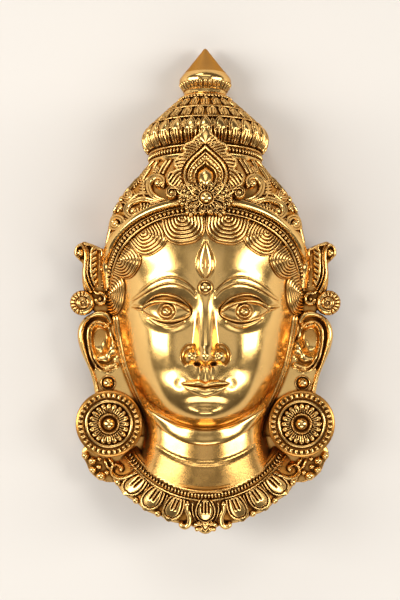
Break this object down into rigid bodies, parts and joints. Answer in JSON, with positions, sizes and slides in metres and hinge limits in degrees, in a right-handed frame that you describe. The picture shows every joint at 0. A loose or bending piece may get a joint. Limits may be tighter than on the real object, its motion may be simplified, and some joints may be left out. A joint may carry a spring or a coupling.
{
  "type": "wall mask",
  "caption": "Hollow cast brass wall mask of a calm crowned face with round ear discs and a petal collar, hung by a bar across its open back.",
  "frame": {"origin": "centre of the mask's width and height, on the plane of the flat rim of its open back, which it lies on", "axes": "+X to the right of the face as it is seen, +Y up the face towards the finial, +Z out of the face"},
  "size_m": [0.1266, 0.2286, 0.0627],
  "materials": {
    "brass": "polished, with dark patina in the recesses"
  },
  "bodies": {
    "root": {"mask": "brass"}
  },
  "joints": []
}
